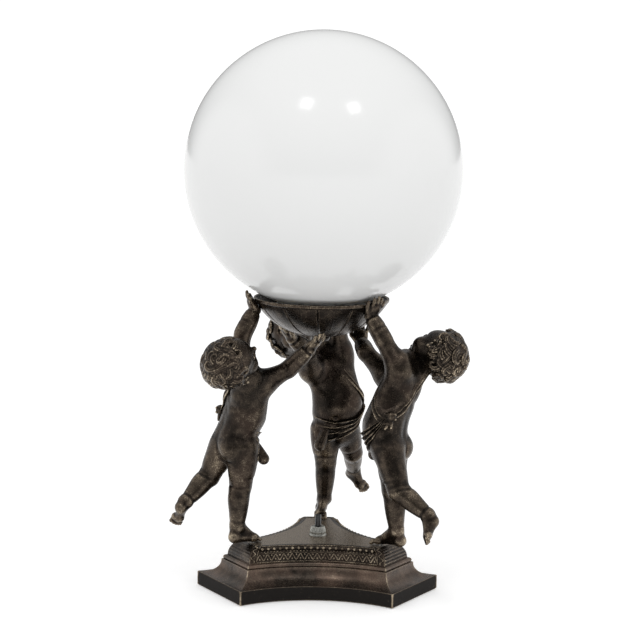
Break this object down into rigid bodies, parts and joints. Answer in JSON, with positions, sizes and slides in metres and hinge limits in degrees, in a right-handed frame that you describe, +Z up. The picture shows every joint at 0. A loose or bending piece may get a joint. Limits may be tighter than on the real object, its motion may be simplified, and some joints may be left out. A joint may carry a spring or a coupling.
{
  "type": "figural table lamp",
  "caption": "Table lamp with standing cherub figures on a moulded base that hold up a leaf bowl with an opal glass globe; push switch between their feet.",
  "frame": {"origin": "middle of the felt's underside, where the lamp rests", "axes": "+Z up along the lamp's axis, -Y towards the viewer of the picture, +X to their right"},
  "size_m": [0.273, 0.2667, 0.5129],
  "materials": {
    "bronze": "aged dark brown-black bronze patina with rubbed warm highlights",
    "base_bronze": "aged dark bronze patina, nearly black on the foot band",
    "brass": "plain turned brass",
    "nickel": "nickel plate",
    "zinc_steel": "plated steel",
    "felt": "dark pressed felt",
    "black_plastic": "black moulded plastic",
    "button_plastic": "glossy black moulded plastic",
    "opal_glass": "glossy opal white blown glass",
    "bulb_glass": "satin white bulb glass",
    "bulb_metal": "pressed aluminium cap",
    "insulator": "black glass-like insulating ring",
    "liner_board": "brown insulating sleeve",
    "lead_rubber": "brown insulated twin lead"
  },
  "bodies": {
    "lamp": {"base_casting": "base_bronze", "base_felt": "felt", "cord_bushing": "black_plastic", "putto_left": "bronze", "putto_right": "bronze", "putto_back": "bronze", "foot_screws": "zinc_steel", "foot_washers": "zinc_steel", "bowl": "bronze", "hand_screws": "zinc_steel", "hub_nut": "bronze", "nipple": "zinc_steel", "gallery_spacer": "brass", "gallery_nut": "brass", "gallery": "brass", "holder_cap": "brass", "holder_shell": "brass", "holder_liner": "liner_board", "holder_screw_shell": "brass", "holder_contact": "brass", "switch_bushing": "nickel", "switch_nut": "nickel", "switch_locknut": "zinc_steel", "switch_body": "black_plastic", "switch_spring": "zinc_steel", "base_leads": "lead_rubber", "bowl_lead": "lead_rubber"},
    "globe": {"globe": "opal_glass"},
    "button": {"switch_button": "button_plastic"},
    "bulb_carriage": {"bulb_tip": "bulb_metal"},
    "bulb": {"bulb_cap": "bulb_metal", "bulb_insulator": "insulator", "bulb_glass": "bulb_glass"}
  },
  "joints": [
    {"name": "globe_lift", "type": "slide", "parent": "lamp", "child": "globe", "axis": [0, 0, 1], "range_m": [0, 0.135]},
    {"name": "button_push", "type": "slide", "parent": "lamp", "child": "button", "axis": [0, 0, -1], "range_m": [0, 0.003], "stiffness_N_per_m": 150, "springref_m": -0.003, "deforming": ["switch_spring"]},
    {"name": "bulb_rise", "type": "slide", "parent": "lamp", "child": "bulb_carriage", "axis": [0, 0, 1], "range_m": [0, 0.02]},
    {"name": "bulb_turn", "type": "hinge", "parent": "bulb_carriage", "child": "bulb", "pos_m": [0, 0, 0.3], "axis": [0, 0, 1], "range_deg": [0, 1980]}
  ],
  "couplings": [
    {"joint": "bulb_rise", "follows": "bulb_turn", "m_per_rad": 0.0005775}
  ]
}
